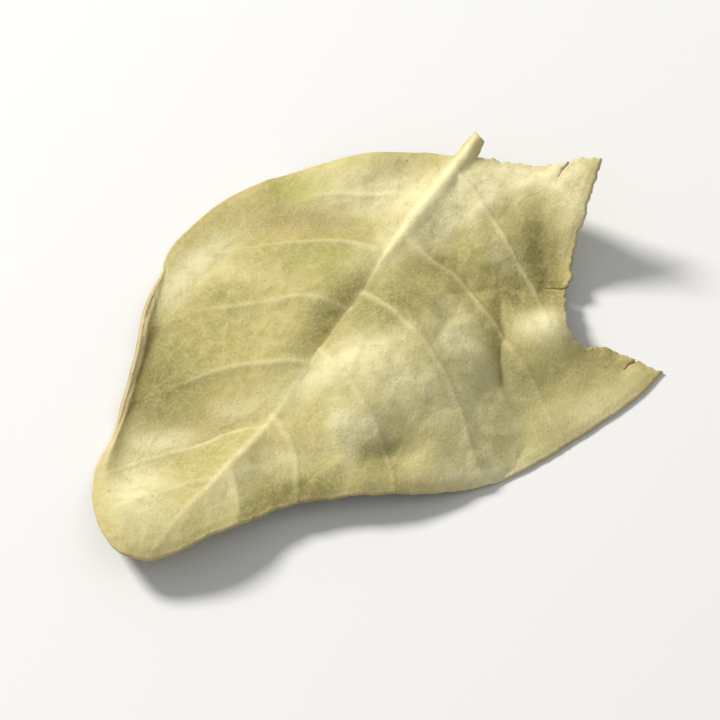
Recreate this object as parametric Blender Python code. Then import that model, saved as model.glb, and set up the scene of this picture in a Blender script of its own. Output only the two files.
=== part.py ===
"""A dried moringa leaflet that lies on a surface with its paler underside up.

Lengths are in millimetres and become metres when the mesh is made. +Y runs along
the midrib from the tip to the stalk end, +X runs across the blade and +Z is up.
The blade is one sheet. Its form is a height above each point of the plan, bent at
the margin and the corner. The solid lies on that form where it touches the surface,
and mostly under it where it arches clear, with the ribs raised from its upper face.
"""

import math
import random

import bpy
import numpy as np
from mathutils import Vector
from mathutils.geometry import delaunay_2d_cdt

MM = 0.001
COLOUR = (0.56, 0.50, 0.24, 1.0)
ROUGHNESS = 0.8
SHARP_FROM_DEGREES = 50

# The origin's place in the leaflet's own plan, below the middle of its box
ORIGIN = (1.404, 1.257)

# Blade: its thickness, and how much of it lies below the form's face where that is well clear of the surface
BLADE_THICKNESS = 0.6
BLADE_BELOW = 0.45
BLADE_CLEAR_FROM = (0.9, 2.2)
POINT_SPACING = 0.45
POINT_GAP = 0.28
EDGE_STEP = 0.36
EDGE_ROW = 0.34
EDGE_ROW_GAP = 0.27

# Plan of the leaflet: a natural margin round the tip, then a torn side and the stalk end
NATURAL_MARGIN = [
    (-0.35, 9.9), (-1.7, 9.5), (-4.1, 7.8), (-5.8, 6.3), (-6.8, 4.2), (-7.1, 1.9),
    (-6.8, -0.4), (-5.9, -2.4), (-5.1, -4.4), (-4.4, -6.2), (-3.6, -7.6), (-2.4, -8.8),
    (-1.1, -9.4), (0.1, -8.7), (1.2, -6.9), (2.3, -4.7), (3.8, -3.2), (6.1, -1.2),
    (7.9, 1.2), (9.1, 4.1), (9.7, 6.0), (9.9, 7.4),
]
TORN_SIDE = [(9.9, 7.4), (8.1, 7.2), (6.8, 6.3), (5.9, 7.3), (5.2, 9.0), (5.0, 10.9), (5.0, 12.1)]
STALK_SIDE = [(5.0, 12.1), (2.7, 11.1), (1.3, 10.7), (0.3, 10.2)]
STALK_STUB = [(0.3, 10.2), (0.22, 10.8), (-0.22, 10.95), (-0.35, 9.9)]
TEAR_DEPTH = 0.13
TEAR_SEED = 7

# Ribs: the midrib, and side veins as (side, height on the midrib, reach across, fall to the tip)
MIDRIB = [(0.02, 11.0), (0.0, 8.5), (-0.12, 5.0), (0.05, 2.0), (0.12, -1.5), (0.0, -5.0), (-0.3, -9.0)]
MIDRIB_RADIUS = (0.36, 0.15)
MIDRIB_RISE = (0.30, 0.10)
SIDE_VEINS = [
    (1, 9.2, 6.0, 2.9), (1, 6.3, 9.0, 3.4), (1, 3.5, 8.2, 4.0), (1, 0.9, 5.6, 3.4), (1, -1.9, 3.1, 3.0),
    (1, -4.6, 1.9, 2.4), (-1, 8.1, 5.1, 2.6), (-1, 5.5, 6.1, 3.3), (-1, 2.8, 5.9, 3.9),
    (-1, 0.2, 4.7, 4.1), (-1, -2.5, 3.6, 4.3), (-1, -5.4, 2.3, 2.6),
]
VEIN_BEND = 0.55
SIDE_VEIN_RADIUS = 0.26
SIDE_VEIN_RISE = 0.12
SIDE_VEIN_TAPER = 0.5
MIDRIB_ROWS = (0.0, 0.36, -0.36, 0.75, -0.75)
SIDE_VEIN_ROWS = (0.0, 0.34, -0.34)

# Relief: an arch across the blade, and a fold along the midrib that turns from ridge to valley
ARCH_TOP_AT = 2.4
ARCH_ROUNDING = 3.6
ARCH_SLOPE = 0.42
LENGTHWISE_LIFT = 0.0045
FOLD_HEIGHT = 0.60
FOLD_LENGTH = 12.5
FOLD_LOWEST_AT = 1.8
FOLD_ROUNDING = 0.35
FOLD_SHARE = (1.05, 1.0)
FOLD_REACH = (1.8, 3.4)

# Swells: height, centre, spread along and across, and the turn of the long side in degrees
SWELLS = [
    (0.60, (-3.8, 1.6), (3.0, 1.5), 70),
    (0.42, (-6.8, -0.9), (3.2, 1.5), 85),
    (0.45, (4.6, 1.0), (2.8, 2.6), 0),
    (0.25, (2.0, -4.0), (2.0, 1.4), 60),
    (0.50, (9.6, 6.6), (2.4, 1.8), 60),
    (0.45, (-1.6, -7.4), (1.8, 1.4), 0),
    (-0.60, (0.6, -10.0), (2.4, 1.8), 0),
    (0.30, (2.4, 8.2), (1.6, 1.8), 0),
    (-0.45, (4.7, 8.0), (1.7, 1.1), -60),
    (-0.50, (4.3, -0.9), (1.2, 0.75), 40),
    (0.35, (-3.2, 8.0), (1.6, 1.2), 40),
    (0.40, (6.5, 6.5), (1.2, 0.9), 30),
]

# Creases: depth, the two ends of the line, and how far the sides reach
CREASES = [
    (0.80, (-0.3, -2.4), (-4.2, -5.8), 0.8),
    (0.60, (3.8, 6.4), (5.6, 3.5), 0.5),
    (0.15, (1.4, 7.0), (3.3, 5.6), 0.6),
    (0.20, (5.7, 2.4), (4.2, 0.4), 0.5),
    (-0.30, (2.1, -1.6), (3.9, -2.4), 0.6),
]
CREASE_ROUNDING = 0.22
MARGIN_WAVE = 0.16
MARGIN_WAVE_TURNS = (1.25, -0.95)
MARGIN_WAVE_SHIFT = 0.6
MARGIN_WAVE_REACH = 1.3
MARGIN_WAVE_FROM = (-5.0, -1.0)

# The left margin is turned up in a rim, from mid-leaf to near the tip
RIM_WIDTH = 1.25
RIM_RADIUS = 1.3
RIM_FROM = (2.6, 0.6)
RIM_TO = (-7.4, -5.4)
RIM_DIRECTION = (-0.96, -0.28)
RIM_LEFT_OF = -1.0

# The corner by the tear is folded up along a crease
CORNER_CREASE = (2.6, 10.4)
CORNER_DIRECTION = (0.66, 0.751)
CORNER_LEFT_OF = (7.4, 6.4)
CORNER_RADIUS = 0.9
CORNER_ARC = 0.68

# Where the blade touches down, round its weight
REST_SPOTS = [(-3.2, -5.4), (8.1, 3.4), (-5.5, 5.0)]
REST_PRESS = 0.06
REST_FLAT_RADIUS = 0.65
REST_BLEND_RADIUS = 2.4


def smoothstep(low, high, value):
    t = np.clip((value - low) / (high - low), 0.0, 1.0)
    return t * t * (3.0 - 2.0 * t)


def bump(x, y, centre, spread, turn=0.0):
    """A rounded hill of height 1, with its own spread along and across the direction turn."""
    c, s = math.cos(turn), math.sin(turn)
    dx, dy = x - centre[0], y - centre[1]
    along, across = c * dx + s * dy, -s * dx + c * dy
    return np.exp(-((along / spread[0]) ** 2) - (across / spread[1]) ** 2)


def curve_through(points, step):
    """Points about step apart on a smooth curve through the given ones (Catmull-Rom)."""
    p = [np.array(q, float) for q in points]
    p = [2 * p[0] - p[1], *p, 2 * p[-1] - p[-2]]
    made = []
    for a, b, c, d in zip(p, p[1:], p[2:], p[3:]):
        count = max(1, round(np.linalg.norm(c - b) / step))
        for t in np.arange(count) / count:
            made.append(
                0.5 * (2 * b + (c - a) * t + (2 * a - 5 * b + 4 * c - d) * t**2
                       + (3 * b - a - 3 * c + d) * t**3)
            )
    return np.array([*made, p[-2]])


def torn_through(points, step, depth, chance):
    """Points about step apart along straight runs, each pushed in or out at random as a tear is."""
    made = []
    for a, b in zip(np.array(points, float), np.array(points[1:], float)):
        count = max(1, round(np.linalg.norm(b - a) / step))
        out = np.array([b[1] - a[1], a[0] - b[0]]) / np.linalg.norm(b - a)
        for i in range(count):
            push = depth * chance.uniform(-1, 1) if i else 0.0
            made.append(a + (b - a) * i / count + out * push)
    return np.array([*made, points[-1]])


def outline():
    """The closed plan of the leaflet, anticlockwise, without a repeated last point."""
    chance = random.Random(TEAR_SEED)
    return np.concatenate([
        curve_through(NATURAL_MARGIN, EDGE_STEP)[:-1],
        torn_through(TORN_SIDE, EDGE_STEP, TEAR_DEPTH, chance)[:-1],
        torn_through(STALK_SIDE, EDGE_STEP, TEAR_DEPTH / 2, chance)[:-1],
        torn_through(STALK_STUB, EDGE_STEP, 0.0, chance)[:-1],
    ])


def side_vein(side, root, reach, fall, count=14):
    """A side vein's line: out from the midrib, bending more and more towards the tip."""
    u = np.linspace(0.0, 1.0, count)
    return np.stack([side * reach * u, root - fall * ((1 - VEIN_BEND) * u + VEIN_BEND * u**2)], axis=1)


def distance_to_line(x, y, line):
    """Each point's distance to a line of straight runs, and how far along it the nearest place is, 0 to 1."""
    best = np.full(x.shape, np.inf)
    where = np.zeros(x.shape)
    runs = np.linalg.norm(np.diff(line, axis=0), axis=1)
    start = np.concatenate([[0.0], np.cumsum(runs)])
    for i, run in enumerate(runs):
        (ax, ay), (bx, by) = line[i], line[i + 1]
        t = np.clip(((x - ax) * (bx - ax) + (y - ay) * (by - ay)) / run**2, 0.0, 1.0)
        d = np.hypot(x - ax - t * (bx - ax), y - ay - t * (by - ay))
        nearer = d < best
        best = np.where(nearer, d, best)
        where = np.where(nearer, (start[i] + t * run) / start[-1], where)
    return best, where


def relief(x, y, margin):
    """Height of the blade's form over its plan, before it is bent and set down."""
    z = LENGTHWISE_LIFT * y**2 - ARCH_SLOPE * np.sqrt((x - ARCH_TOP_AT) ** 2 + ARCH_ROUNDING**2)
    # The fold along the midrib is a ridge at both ends and a valley between
    fold = FOLD_HEIGHT * np.cos(2 * math.pi * (y - FOLD_LOWEST_AT) / FOLD_LENGTH)
    for side, share, reach in zip((x < 0, x >= 0), FOLD_SHARE, FOLD_REACH):
        sides = np.sqrt(x**2 + FOLD_ROUNDING**2) - FOLD_ROUNDING
        z += side * share * fold * sides * np.exp(-((x / reach) ** 2))
    for height, centre, spread, turn in SWELLS:
        z += height * bump(x, y, centre, spread, math.radians(turn))
    for depth, start, end, reach in CREASES:
        distance, _ = distance_to_line(x, y, np.array([start, end], float))
        z -= depth * np.exp(-np.sqrt(distance**2 + CREASE_ROUNDING**2) / reach)
    # The margins wave, less and less towards the middle
    wave = np.sin(MARGIN_WAVE_TURNS[0] * x + MARGIN_WAVE_TURNS[1] * y + MARGIN_WAVE_SHIFT)
    return z + MARGIN_WAVE * wave * np.exp(-margin / MARGIN_WAVE_REACH) * smoothstep(*MARGIN_WAVE_FROM, x)


def bent(points, height_from, away, direction, curvature, most):
    """Points bent upwards where away is above 0: an arc of the curvature for up to most, then straight."""
    arc = np.clip(away, 0.0, most)
    straight = np.clip(away - most, 0.0, None)
    k = np.maximum(curvature, 1e-6)
    angle = k * arc
    lift = points[:, 2] - height_from
    out = np.sin(angle) / k + straight * np.cos(angle) - lift * np.sin(angle) - np.clip(away, 0.0, None)
    up = (1 - np.cos(angle)) / k + straight * np.sin(angle) + lift * (np.cos(angle) - 1)
    return points + np.stack([direction[0] * out, direction[1] * out, up], axis=1)


def left_turn_up(points, margin):
    """The left margin turned up in a thin rim between mid-leaf and the tip."""
    x, y, z = points.T
    strength = smoothstep(*RIM_FROM, y) * smoothstep(*RIM_TO, y) * (x < RIM_LEFT_OF)
    return bent(points, z, RIM_WIDTH - margin, RIM_DIRECTION, strength / RIM_RADIUS, RIM_WIDTH)


def corner_fold(points):
    """The corner by the tear folded up along a straight crease."""
    x, y, z = points.T
    away = (x - CORNER_CREASE[0]) * CORNER_DIRECTION[0] + (y - CORNER_CREASE[1]) * CORNER_DIRECTION[1]
    away = away * smoothstep(*CORNER_LEFT_OF, x)
    return bent(points, z, away, CORNER_DIRECTION, np.full_like(x, 1 / CORNER_RADIUS), CORNER_ARC)


def hanging(x, y, loop):
    """The form in space before it is let down: its relief, then its bends."""
    margin, _ = distance_to_line(x, y, np.concatenate([loop, loop[:1]]))
    points = np.stack([x, y, relief(x, y, margin)], axis=1)
    return corner_fold(left_turn_up(points, margin))


def let_down(points, loop):
    """The points tilted and lowered so that the blade lies flat on the surface at its rest spots."""
    x, y, z = points.T
    spots = hanging(*np.array(REST_SPOTS).T, loop)
    slope_x, slope_y, level = np.linalg.solve(np.c_[spots[:, :2], np.ones(3)], spots[:, 2])
    z = z - slope_x * x - slope_y * y - level
    z = np.where(z > 2 * REST_PRESS, z - REST_PRESS, np.clip(z, 0.0, None) ** 2 / (4 * REST_PRESS))
    for cx, cy, _ in spots:
        z = z * smoothstep(REST_FLAT_RADIUS, REST_BLEND_RADIUS, np.hypot(x - cx, y - cy))
    return np.stack([x, y, z], axis=1)


def rib_rise(x, y):
    """How far the midrib and the side veins stand out of the upper face."""
    distance, along = distance_to_line(x, y, curve_through(MIDRIB, 0.5))
    radius = MIDRIB_RADIUS[0] + (MIDRIB_RADIUS[1] - MIDRIB_RADIUS[0]) * along
    rise = MIDRIB_RISE[0] + (MIDRIB_RISE[1] - MIDRIB_RISE[0]) * along
    ribs = rise * np.exp(-((distance / radius) ** 2))
    for vein in SIDE_VEINS:
        distance, along = distance_to_line(x, y, side_vein(*vein))
        rise = SIDE_VEIN_RISE * (1 - SIDE_VEIN_TAPER * along)
        ribs = np.maximum(ribs, rise * np.exp(-((distance / SIDE_VEIN_RADIUS) ** 2)))
    return ribs


def inside(x, y, loop):
    """Which points lie inside the closed loop."""
    found = np.zeros(x.shape, bool)
    for (ax, ay), (bx, by) in zip(loop, np.roll(loop, -1, axis=0)):
        crosses = (ay > y) != (by > y)
        with np.errstate(divide="ignore", invalid="ignore"):
            found ^= crosses & (x < ax + (y - ay) * (bx - ax) / (by - ay))
    return found


def beside(line, offset):
    """The line moved sideways by offset."""
    along = np.gradient(line, axis=0)
    along /= np.linalg.norm(along, axis=1, keepdims=True)
    return line + offset * np.stack([-along[:, 1], along[:, 0]], axis=1)


def spread_out(candidates, placed, gap):
    """The placed points with each candidate that is at least gap from all of them."""
    for point in candidates:
        if not len(placed) or np.hypot(*(placed - point).T).min() > gap:
            placed = np.concatenate([placed, [point]])
    return placed


def well_inside(points, loop, gap):
    """The points that lie inside the loop and at least gap from it."""
    margin, _ = distance_to_line(*points.T, np.concatenate([loop, loop[:1]]))
    return points[inside(*points.T, loop) & (margin > gap)]


def even_field(low, high):
    """Points in rows, each as far from its neighbours as POINT_SPACING."""
    field = []
    for row, y in enumerate(np.arange(low[1], high[1], POINT_SPACING * math.sqrt(3) / 2)):
        for x in np.arange(low[0] + (row % 2) * POINT_SPACING / 2, high[0], POINT_SPACING):
            field.append((x, y))
    return np.array(field)


def plan_triangles(loop):
    """The plan cut into triangles: the outline, rows along the ribs and an even field between."""
    ribs = [beside(curve_through(MIDRIB, POINT_SPACING), offset) for offset in MIDRIB_ROWS]
    veins = [curve_through(side_vein(*vein, count=5), POINT_SPACING) for vein in SIDE_VEINS]
    ribs += [beside(vein, offset) for offset in SIDE_VEIN_ROWS for vein in veins]
    edge_row = beside(np.concatenate([loop, loop[:1]]), EDGE_ROW)
    placed = spread_out(well_inside(np.concatenate(ribs), loop, POINT_GAP), np.empty((0, 2)), POINT_GAP)
    placed = spread_out(well_inside(edge_row, loop, EDGE_ROW_GAP), placed, POINT_GAP)
    field = even_field(loop.min(0), loop.max(0))
    placed = spread_out(well_inside(field, loop, POINT_GAP), placed, POINT_GAP)
    points = [Vector(p) for p in np.concatenate([loop, placed])]
    rim = [(i, (i + 1) % len(loop)) for i in range(len(loop))]
    made, _, faces, *_ = delaunay_2d_cdt(points, rim, [], 1, 1e-6)
    return np.array(made), np.array(faces)


def normals_of(points, faces):
    """The mean direction of the faces round each point."""
    a, b, c = (points[faces[:, i]] for i in range(3))
    across = np.cross(b - a, c - a)
    total = np.zeros_like(points)
    for i in range(3):
        np.add.at(total, faces[:, i], across)
    return total / np.linalg.norm(total, axis=1, keepdims=True)


def leaflet_mesh():
    """The blade as one closed mesh with triangles alike on both faces."""
    loop = outline()
    plan, faces = plan_triangles(loop)
    form = let_down(hanging(*plan.T, loop), loop)
    up = normals_of(form, faces)
    below = BLADE_BELOW * smoothstep(*BLADE_CLEAR_FROM, form[:, 2])
    lower = form - up * below[:, None]
    upper = lower + up * (BLADE_THICKNESS + rib_rise(*plan.T))[:, None]
    points = np.concatenate([lower, upper]) - (*ORIGIN, 0.0)
    count = len(plan)
    rim = [(i, (i + 1) % len(loop)) for i in range(len(loop))]
    sides = [(a, b, b + count, a + count) for a, b in rim]
    mesh = bpy.data.meshes.new("leaflet")
    mesh.from_pydata(
        (points * MM).tolist(),
        [],
        faces[:, ::-1].tolist() + (faces + count).tolist() + sides,
    )
    mesh.validate()
    return mesh


def leaf_material():
    """The matt, pale khaki green of a dried leaflet's underside."""
    material = bpy.data.materials.new("dried_leaf")
    material.use_nodes = True
    shader = material.node_tree.nodes["Principled BSDF"]
    shader.inputs["Base Color"].default_value = COLOUR
    shader.inputs["Roughness"].default_value = ROUGHNESS
    shader.inputs["Metallic"].default_value = 0.0
    return material


def main():
    for obj in list(bpy.data.objects):
        bpy.data.objects.remove(obj)
    mesh = leaflet_mesh()
    mesh.materials.append(leaf_material())
    mesh.shade_smooth()
    mesh.set_sharp_from_angle(angle=math.radians(SHARP_FROM_DEGREES))
    leaflet = bpy.data.objects.new("leaflet", mesh)
    bpy.context.scene.collection.objects.link(leaflet)


main()
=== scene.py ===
"""The looks of one dried moringa leaflet, lying on a pale floor with its paler underside up.

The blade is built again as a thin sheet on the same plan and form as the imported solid,
with its ribs, its net of small veins, its puckers and its frayed tears. The form is worked
out in millimetres in the leaflet's own plan: +Y runs along the midrib from the tip to the
stalk end, +X runs across the blade and +Z is up.
"""

import math
import random

import bpy
import numpy as np
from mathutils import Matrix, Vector
from mathutils.geometry import delaunay_2d_cdt
from mathutils.kdtree import KDTree


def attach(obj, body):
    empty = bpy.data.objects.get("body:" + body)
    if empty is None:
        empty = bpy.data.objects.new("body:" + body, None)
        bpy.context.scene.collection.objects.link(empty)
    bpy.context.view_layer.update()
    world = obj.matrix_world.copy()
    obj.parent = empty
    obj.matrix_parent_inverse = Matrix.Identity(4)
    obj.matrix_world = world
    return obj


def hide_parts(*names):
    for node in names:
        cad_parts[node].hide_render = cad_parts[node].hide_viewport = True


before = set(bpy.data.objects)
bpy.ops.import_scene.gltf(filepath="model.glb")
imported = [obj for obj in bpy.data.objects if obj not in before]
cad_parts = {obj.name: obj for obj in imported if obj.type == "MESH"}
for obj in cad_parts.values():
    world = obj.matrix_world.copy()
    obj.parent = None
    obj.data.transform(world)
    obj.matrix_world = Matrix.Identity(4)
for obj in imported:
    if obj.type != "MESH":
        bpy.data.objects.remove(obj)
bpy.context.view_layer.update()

MM = 0.001

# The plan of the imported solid, in its own millimetres, and the origin's place in it
ORIGIN = (1.404, 1.257)
NATURAL_MARGIN = [
    (-0.35, 9.9), (-1.7, 9.5), (-4.1, 7.8), (-5.8, 6.3), (-6.8, 4.2), (-7.1, 1.9),
    (-6.8, -0.4), (-5.9, -2.4), (-5.1, -4.4), (-4.4, -6.2), (-3.6, -7.6), (-2.4, -8.8),
    (-1.1, -9.4), (0.1, -8.7), (1.2, -6.9), (2.3, -4.7), (3.8, -3.2), (6.1, -1.2),
    (7.9, 1.2), (9.1, 4.1), (9.7, 6.0), (9.9, 7.4),
]
TORN_SIDE = [(9.9, 7.4), (8.1, 7.2), (6.8, 6.3), (5.9, 7.3), (5.2, 9.0), (5.0, 10.9), (5.0, 12.1)]
STALK_SIDE = [(5.0, 12.1), (2.7, 11.1), (1.3, 10.7), (0.3, 10.2)]
STALK_STUB = [(0.3, 10.2), (0.22, 10.8), (-0.22, 10.95), (-0.35, 9.9)]
EDGE_STEP = 0.36
TEAR_DEPTH = 0.13
TEAR_SEED = 7

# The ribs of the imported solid: side veins are (side, height on the midrib, reach across, fall to the tip)
MIDRIB = [(0.02, 11.0), (0.0, 8.5), (-0.12, 5.0), (0.05, 2.0), (0.12, -1.5), (0.0, -5.0), (-0.3, -9.0)]
SIDE_VEINS = [
    (1, 9.2, 6.0, 2.9), (1, 6.3, 9.0, 3.4), (1, 3.5, 8.2, 4.0), (1, 0.9, 5.6, 3.4), (1, -1.9, 3.1, 3.0),
    (1, -4.6, 1.9, 2.4), (-1, 8.1, 5.1, 2.6), (-1, 5.5, 6.1, 3.3), (-1, 2.8, 5.9, 3.9),
    (-1, 0.2, 4.7, 4.1), (-1, -2.5, 3.6, 4.3), (-1, -5.4, 2.3, 2.6),
]
VEIN_BEND = 0.55

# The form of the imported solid
ARCH_TOP_AT = 2.4
ARCH_ROUNDING = 3.6
ARCH_SLOPE = 0.42
LENGTHWISE_LIFT = 0.0045
FOLD_HEIGHT = 0.60
FOLD_LENGTH = 12.5
FOLD_LOWEST_AT = 1.8
FOLD_ROUNDING = 0.35
FOLD_SHARE = (1.05, 1.0)
FOLD_REACH = (1.8, 3.4)
SWELLS = [
    (0.60, (-3.8, 1.6), (3.0, 1.5), 70),
    (0.42, (-6.8, -0.9), (3.2, 1.5), 85),
    (0.45, (4.6, 1.0), (2.8, 2.6), 0),
    (0.25, (2.0, -4.0), (2.0, 1.4), 60),
    (0.50, (9.6, 6.6), (2.4, 1.8), 60),
    (0.45, (-1.6, -7.4), (1.8, 1.4), 0),
    (-0.60, (0.6, -10.0), (2.4, 1.8), 0),
    (0.30, (2.4, 8.2), (1.6, 1.8), 0),
    (-0.45, (4.7, 8.0), (1.7, 1.1), -60),
    (-0.50, (4.3, -0.9), (1.2, 0.75), 40),
    (0.35, (-3.2, 8.0), (1.6, 1.2), 40),
    (0.40, (6.5, 6.5), (1.2, 0.9), 30),
]
CREASES = [
    (0.80, (-0.3, -2.4), (-4.2, -5.8), 0.8),
    (0.60, (3.8, 6.4), (5.6, 3.5), 0.5),
    (0.15, (1.4, 7.0), (3.3, 5.6), 0.6),
    (0.20, (5.7, 2.4), (4.2, 0.4), 0.5),
    (-0.30, (2.1, -1.6), (3.9, -2.4), 0.6),
]
CREASE_ROUNDING = 0.22
MARGIN_WAVE = 0.16
MARGIN_WAVE_TURNS = (1.25, -0.95)
MARGIN_WAVE_SHIFT = 0.6
MARGIN_WAVE_REACH = 1.3
MARGIN_WAVE_FROM = (-5.0, -1.0)
RIM_WIDTH = 1.25
# The thin sheet's rim curls a little tighter than the solid's
RIM_RADIUS = 1.0
RIM_FROM = (2.6, 0.6)
RIM_TO = (-7.4, -5.4)
RIM_DIRECTION = (-0.96, -0.28)
RIM_LEFT_OF = -1.0
CORNER_CREASE = (2.6, 10.4)
CORNER_DIRECTION = (0.66, 0.751)
CORNER_LEFT_OF = (7.4, 6.4)
CORNER_RADIUS = 0.9
CORNER_ARC = 0.68
# Keeps a part that isn't bent from dividing by zero
LEAST_CURVATURE = 1e-6
REST_SPOTS = [(-3.2, -5.4), (8.1, 3.4), (-5.5, 5.0)]
REST_PRESS = 0.06
REST_FLAT_RADIUS = 0.65
REST_BLEND_RADIUS = 2.4

# The thin sheet: its thickness, the share of it left at the edge, and how far in the thinning starts
SHEET = 0.20
EDGE_SHARE = 0.72
EDGE_THINS_FROM = 0.35

# The sheet's mesh: the spacing of its points on each face and along the edge, how many spacings a face's
# inner points stay clear of the edge, and how often the directions of the thickness are evened out
UPPER_SPACING = 0.063
FLOOR_SPACING = 0.115
FINE_EDGE = 0.062
FIELD_GAP = 0.6
EVENING_ROUNDS = 8

# For the cutting into triangles: keep those inside the outline, and how near two points count as one
TRIANGLES_INSIDE = 1
POINTS_APART = 1e-6

# How far the edge bulges out, the most it takes of a gap to a side that faces it, and the cosine between
# two outward directions below which the sides face each other
EDGE_BULGE = 0.045
BULGE_SHARE = 0.3
FACING_BELOW = 0.3

# Smooth noise: the side of its table, how each seed turns it, and a shift that keeps the places positive
NOISE_TABLE = 64
NOISE_TURN = 0.7
NOISE_SHIFT = (1000.3, 1000.7)

# The natural margin's nibbles, as (size, how far across a wave is, seed), and the least of them
NIBBLES = [(0.035, 0.9, 31), (0.012, 0.25, 32)]
NIBBLE_LEAST = 0.01

# The fray of the tears: its depth as a share of a run, how it falls with each halving of the runs, and
# the longest run that is left, in steps of the fine edge
TORN_SIDE_FRAY = 0.24
STALK_SIDE_FRAY = 0.20
STALK_STUB_FRAY = 0.10
FRAY_FALL = 0.8
FRAY_LONGEST = 1.4

# The ribs: the step along the midrib, half widths and heights from root to end, how much of itself each rib
# shows (the midrib by height on the plan), how they waver as (size, how far across a wave is, seed), where
# along a side vein its colour has gone and where it starts to fade, and how much farther off a faint one
# counts as when the panels beside it are sunk
MIDRIB_STEP = 0.4
MIDRIB_HALF_WIDTH = (0.21, 0.09)
MIDRIB_HEIGHT = (0.22, 0.06)
MIDRIB_SHARE = [(-9, 0.2), (-6, 0.4), (-3.5, 0.6), (-1, 0.2), (1, 0.12), (4, 0.2), (5.5, 0.9), (11, 1)]
MIDRIB_WAVER = (0.05, 1.3, 41)
VEIN_HALF_WIDTH = (0.11, 0.06)
VEIN_HEIGHT = (0.075, 0.03)
VEIN_SHARES = (1.0, 0.55, 0.6, 0.5, 0.6, 0.45, 0.5, 0.6, 0.5, 0.55, 0.7, 0.45)
VEIN_WAVERS = [(0.14, 1.3, 42), (0.14, 1.3, 43)]
VEIN_COLOUR_ENDS = (1.05, 0.3)
FAINT_VEIN_APART = 0.4

# The net of small veins: the size of its cells, the step of their rows in cells, the field they fill, how
# far they stray and warp in cells, how many of the nearest are compared, and the half width, the height
# and the strength of its lines
NET_CELL = 1.05
NET_ROW = 0.87
NET_ACROSS = (-8.0, 12.0)
NET_ALONG = (-11.0, 14.0)
NET_STRAY = 0.38
NET_WARP = 0.16
NET_WARP_CELL = 0.6
NET_NEAREST = 4
NET_SEED = 51
NET_HALF_WIDTH = 0.055
NET_HEIGHT = 0.014
NET_STRENGTH = 0.55
NET_WAVER = (0.45, 2.2, 54)

# Panels sunk between the side veins, and small cells sunk between the lines of the net: how deep, how far
# from the line the depth is reached, and how the depth of the cells varies
PANEL_DEPTH = 0.08
PANEL_REACH = 0.55
CELL_DEPTH = 0.022
CELL_REACH = 0.40
CELL_STRENGTH = 0.6
CELL_WAVER = (0.8, 1.7, 14)

# Crumples of the dried blade, as (height, how far across one is, seed, rounding), the level they are
# measured from, and how strong they are, with more in the listed parts
CRUMPLES = [(0.17, 2.1, 11, 0.015), (-0.10, 1.0, 12, 0.03), (0.028, 0.5, 13, 0.06)]
CRUMPLE_LEVEL = 0.4
CRUMPLE_LEAST = 0.5
CRUMPLED_PARTS = [(0.8, (3.2, 5.4), (3.4, 4.4), 0), (0.5, (2.6, -2.4), (2.5, 2.4), 0)]

# Sharp folds that the solid leaves out: depth, the two ends of the line, how far the sides reach
FINE_CREASES = [
    (0.17, (-0.15, 5.4), (0.10, -0.4), 0.30),
    (0.12, (3.6, 7.8), (4.5, 6.5), 0.30),
    (0.16, (4.7, 5.2), (5.5, 3.6), 0.22),
    (0.09, (3.4, -0.4), (4.2, -1.5), 0.45),
    (0.08, (1.6, 6.4), (3.0, 6.9), 0.30),
    (0.07, (2.6, 5.4), (3.4, 6.6), 0.25),
    (0.08, (-5.0, 0.8), (-5.2, -3.4), 0.50),
    (-0.10, (2.2, -1.1), (3.1, -2.6), 0.22),
    (0.07, (6.2, 3.6), (8.8, 5.0), 0.35),
]
FINE_CREASE_ROUNDING = 0.08
FINE_CREASE_WAVER = (0.12, 0.8, 15)

# Short splits that run in from the tears: place on the edge, end, and half width at the edge
SPLITS = [
    ((5.55, 8.1), (4.75, 7.65), 0.07),
    ((3.7, 11.5), (3.45, 10.95), 0.06),
    ((8.9, 7.3), (8.75, 6.65), 0.06),
]

# A split's shape: how far along and aside the edge makes way for it, in half widths, where its sides
# start, how many points it has at least, how its line kinks, and how its sides draw together
SPLIT_MOUTH = (6, 1.3)
SPLIT_FROM = 0.06
SPLIT_LEAST_POINTS = 4
SPLIT_KINK = 0.03
SPLIT_KINK_TURNS = 9
SPLIT_STRAIGHT_END = 3
SPLIT_TAPER = 0.8
SPLIT_END = 0.018

# Patches of colour, partly painted light and shade: strength, centre, spread along and across, and the turn
# of the long side in degrees
# Pale patches: partly the blade's own paler tone and partly painted light, brightening slopes, the lifted
# corner by the tear and places beside creases
PALE_AND_PAINTED_LIGHT_PATCHES = [
    (0.75, (0.9, 0.4), (1.8, 0.70), 62), (0.35, (2.0, 1.5), (1.2, 0.7), 45),
    (0.50, (3.2, 0.8), (1.4, 1.0), 30), (1.00, (4.2, 11.0), (1.8, 0.9), -41),
    (0.90, (2.4, 10.6), (1.6, 0.5), 22), (1.00, (1.1, 9.2), (1.7, 1.0), 60),
    (1.00, (5.8, 6.2), (0.9, 0.6), 30), (0.25, (-4.2, 2.1), (1.4, 0.4), 11),
    (0.80, (-6.0, 0.5), (1.8, 0.6), 75), (0.95, (-2.3, -6.7), (2.2, 1.1), -45),
    (1.00, (-1.8, 7.6), (2.0, 1.1), 35), (0.80, (2.6, -1.5), (1.0, 0.4), -45),
    (1.00, (7.3, 0.4), (2.0, 0.8), 42), (0.90, (0.6, 7.6), (1.7, 0.65), 80),
    (0.80, (4.0, 3.6), (1.1, 0.8), 0), (0.60, (-1.3, -2.2), (0.9, 0.4), 45),
    (0.60, (5.6, 2.0), (2.4, 1.6), 20), (0.75, (-5.9, 2.4), (1.5, 0.5), 70),
    (0.40, (-0.6, 5.6), (1.2, 0.5), 80), (0.75, (3.0, -0.8), (0.8, 0.5), 0),
    (0.80, (-2.6, -4.4), (1.1, 0.45), 40), (0.45, (1.5, -3.1), (1.0, 0.5), 45),
    (0.45, (3.1, 4.7), (0.8, 0.5), 0), (0.40, (3.0, 7.7), (0.7, 0.5), 0),
    (0.55, (9.0, 4.9), (1.6, 0.9), 60), (0.60, (0.5, -5.2), (1.6, 0.5), 88),
]
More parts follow.
